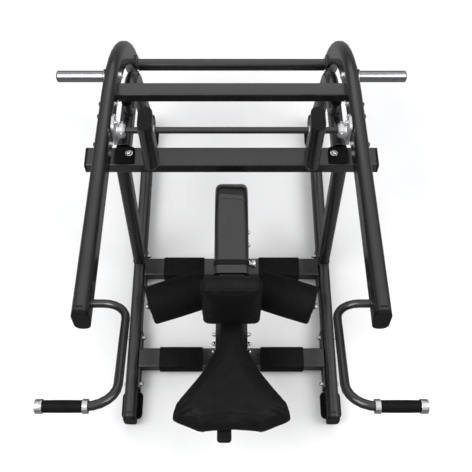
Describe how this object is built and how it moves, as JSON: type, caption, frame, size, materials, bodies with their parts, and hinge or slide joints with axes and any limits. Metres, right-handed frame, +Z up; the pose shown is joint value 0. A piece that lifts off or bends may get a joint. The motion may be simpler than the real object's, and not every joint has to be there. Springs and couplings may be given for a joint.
{
  "type": "plate loaded press machine",
  "caption": "Plate-loaded lever machine with a two-armed overhead lever, saddle seat, chest pad and thigh rollers on a floor frame.",
  "frame": {"origin": "floor level, on the midplane, halfway along the machine", "axes": "+Z up, +X across the machine, +Y from the handles towards the rear legs"},
  "size_m": [1.5266, 2.164, 1.443],
  "materials": {
    "black_paint": "gloss black powder coat",
    "rubber": "matt black rubber",
    "plastic_caps": "matt black moulded plastic",
    "chrome": "polished chrome",
    "zinc": "bright zinc plate",
    "upholstery": "black vinyl upholstery",
    "foam": "closed-cell black foam"
  },
  "bodies": {
    "frame": {"rail_left": "black_paint", "rail_right": "black_paint", "rail_cap_front_left": "plastic_caps", "rail_cap_front_right": "plastic_caps", "rail_cap_rear_left": "plastic_caps", "rail_cap_rear_right": "plastic_caps", "foot_front_left": "rubber", "foot_front_right": "rubber", "foot_rear_left": "rubber", "foot_rear_right": "rubber", "floor_crossbar_front": "black_paint", "floor_crossbar_rear": "black_paint", "foot_sleeve_front_left": "rubber", "foot_sleeve_front_right": "rubber", "foot_sleeve_rear_left": "rubber", "foot_sleeve_rear_right": "rubber", "upright_left": "black_paint", "upright_right": "black_paint", "top_crossbar": "black_paint", "top_crossbar_cap_left": "plastic_caps", "top_crossbar_cap_right": "plastic_caps", "rear_leg_left": "black_paint", "rear_leg_right": "black_paint", "rest_stop_left": "rubber", "rest_stop_right": "rubber", "pivot_post_left": "black_paint", "pivot_post_right": "black_paint", "pivot_post_cap_left": "plastic_caps", "pivot_post_cap_right": "plastic_caps", "pivot_bush_left": "zinc", "pivot_bush_right": "zinc", "centre_frame": "black_paint", "roller_bracket": "black_paint", "seat_column": "black_paint"},
    "lever": {"arm_left": "black_paint", "arm_right": "black_paint", "arm_cap_left": "plastic_caps", "arm_cap_right": "plastic_caps", "arm_hub_left": "zinc", "arm_hub_right": "zinc", "lever_crossbar": "black_paint", "lever_end_tube": "black_paint", "pivot_shaft": "black_paint", "plate_horn_left": "chrome", "plate_horn_right": "chrome", "handle_left": "black_paint", "handle_right": "black_paint", "grip_left": "rubber", "grip_right": "rubber", "grip_cap_left": "chrome", "grip_cap_right": "chrome"},
    "seat_slide": {"seat_carriage": "black_paint", "saddle": "upholstery"},
    "seat_release": {"seat_lever": "plastic_caps"},
    "pad_carriage": {"pad_slide": "black_paint", "chest_pad": "upholstery"},
    "pull_pin": {"pad_pull_pin": "chrome"},
    "roller_left": {"thigh_roller_left": "foam"},
    "roller_right": {"thigh_roller_right": "foam"}
  },
  "joints": [
    {"name": "lever_pivot", "type": "hinge", "parent": "frame", "child": "lever", "pos_m": [0, 0.196, 1.11], "axis": [1, 0, 0], "range_deg": [0, 30]},
    {"name": "seat_height", "type": "slide", "parent": "frame", "child": "seat_slide", "axis": [0, 0, 1], "range_m": [-0.06, 0.02]},
    {"name": "seat_release_lift", "type": "hinge", "parent": "seat_slide", "child": "seat_release", "pos_m": [-0.031, -0.85, 0.412], "axis": [-1, 0, 0], "range_deg": [0, 10]},
    {"name": "pad_reach", "type": "slide", "parent": "frame", "child": "pad_carriage", "axis": [0, -1, 0], "range_m": [0, 0.07]},
    {"name": "pull_pin_travel", "type": "slide", "parent": "frame", "child": "pull_pin", "axis": [1, 0, 0], "range_m": [0, 0.012]},
    {"name": "roller_left_spin", "type": "hinge", "parent": "frame", "child": "roller_left", "pos_m": [0, -0.236, 0.575], "axis": [-0.9455, -0.3256, 0], "continuous": true},
    {"name": "roller_right_spin", "type": "hinge", "parent": "frame", "child": "roller_right", "pos_m": [0, -0.236, 0.575], "axis": [0.9455, -0.3256, 0], "continuous": true}
  ]
}
